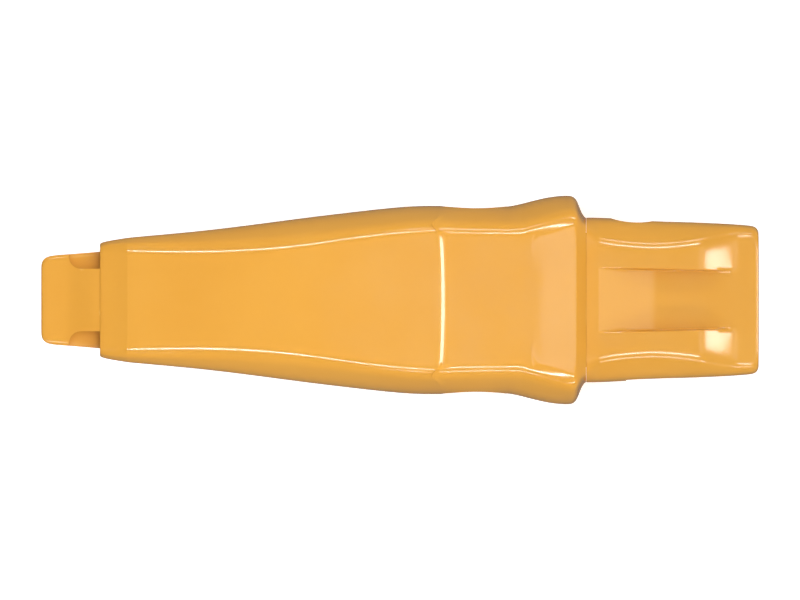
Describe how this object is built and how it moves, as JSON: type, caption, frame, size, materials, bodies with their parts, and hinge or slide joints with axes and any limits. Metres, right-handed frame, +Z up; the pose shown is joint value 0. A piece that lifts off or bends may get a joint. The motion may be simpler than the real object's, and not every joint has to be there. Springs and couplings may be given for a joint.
{
  "type": "excavator bucket tooth",
  "caption": "Excavator bucket tooth: a cast tooth point sleeved over a weld-on two-strap adapter and held by half-turn side locks.",
  "frame": {"origin": "centre of the flat root of the adapter's lip slot, on the parting plane", "axes": "+X from the digging tip towards the bucket, +Y to the tooth's left side, +Z up through the two straps"},
  "size_m": [0.3839, 0.1118, 0.1024],
  "materials": {
    "point_paint": "gloss orange-yellow enamel over a steel casting",
    "adapter_paint": "gloss orange-yellow enamel over a steel casting",
    "lock_steel": "investment-cast steel, satin",
    "elastomer": "moulded elastomer, matt",
    "spring_steel": "phosphated spring steel, satin",
    "plug_rubber": "moulded rubber, painted over with the tooth"
  },
  "bodies": {
    "adapter": {"adapter": "adapter_paint"},
    "point": {"tooth_point": "point_paint", "detent_bush_left": "elastomer", "detent_bush_right": "elastomer", "snap_ring_left": "spring_steel", "snap_ring_right": "spring_steel"},
    "left_lock": {"lock_left": "lock_steel"},
    "right_lock": {"lock_right": "lock_steel"},
    "left_plug": {"dust_plug_left": "plug_rubber"},
    "right_plug": {"dust_plug_right": "plug_rubber"}
  },
  "joints": [
    {"name": "point_play", "type": "slide", "parent": "adapter", "child": "point", "axis": [-1, 0, 0], "range_m": [0, 0.001]},
    {"name": "left_lock_turn", "type": "hinge", "parent": "point", "child": "left_lock", "pos_m": [-0.082, 0.0378, 0], "axis": [0, 1, 0], "range_deg": [0, 180]},
    {"name": "right_lock_turn", "type": "hinge", "parent": "point", "child": "right_lock", "pos_m": [-0.082, -0.0378, 0], "axis": [0, -1, 0], "range_deg": [0, 180]},
    {"name": "left_plug_pull", "type": "slide", "parent": "point", "child": "left_plug", "axis": [0, 1, 0], "range_m": [0, 0.03]},
    {"name": "right_plug_pull", "type": "slide", "parent": "point", "child": "right_plug", "axis": [0, -1, 0], "range_m": [0, 0.03]}
  ]
}
